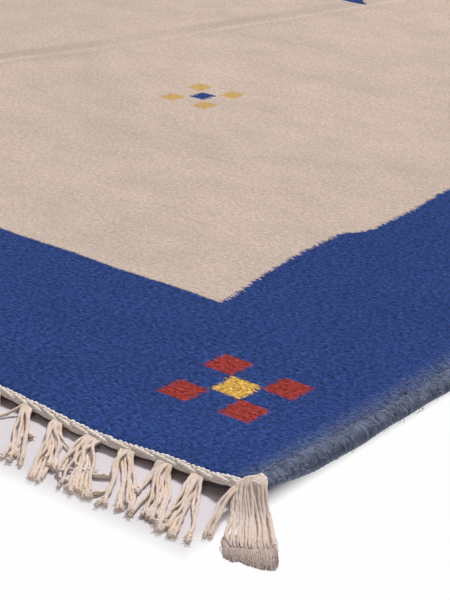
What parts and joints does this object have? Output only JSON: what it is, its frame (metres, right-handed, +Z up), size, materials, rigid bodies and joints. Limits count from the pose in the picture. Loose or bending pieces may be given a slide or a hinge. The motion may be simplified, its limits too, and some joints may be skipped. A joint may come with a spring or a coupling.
{
  "type": "flat-woven fringed rug",
  "caption": "Rectangular flat-woven wool rug lying flat, with a wide border, wrapped rolled side edges, a corded end at each short side and a tasselled cotton fringe.",
  "frame": {"origin": "centre of the rug on the floor plane it lies on", "axes": "+Z up out of the rug's face, Y along the rug from one fringed end to the other with the near end at -Y, X across it from side edge to side edge"},
  "size_m": [1.514, 2.1268, 0.0175],
  "materials": {
    "woven_wool": "matt weft-faced wool weave, cream field with a blue border and small red and yellow figures",
    "edge_wool": "matt fuzzy grey-blue wool wrapping",
    "fringe_cotton": "matt undyed plied cotton"
  },
  "bodies": {
    "root": {"woven_panel": "woven_wool", "side_roll_right": "edge_wool", "side_roll_left": "edge_wool", "fringe_near": "fringe_cotton", "fringe_far": "fringe_cotton"}
  },
  "joints": []
}
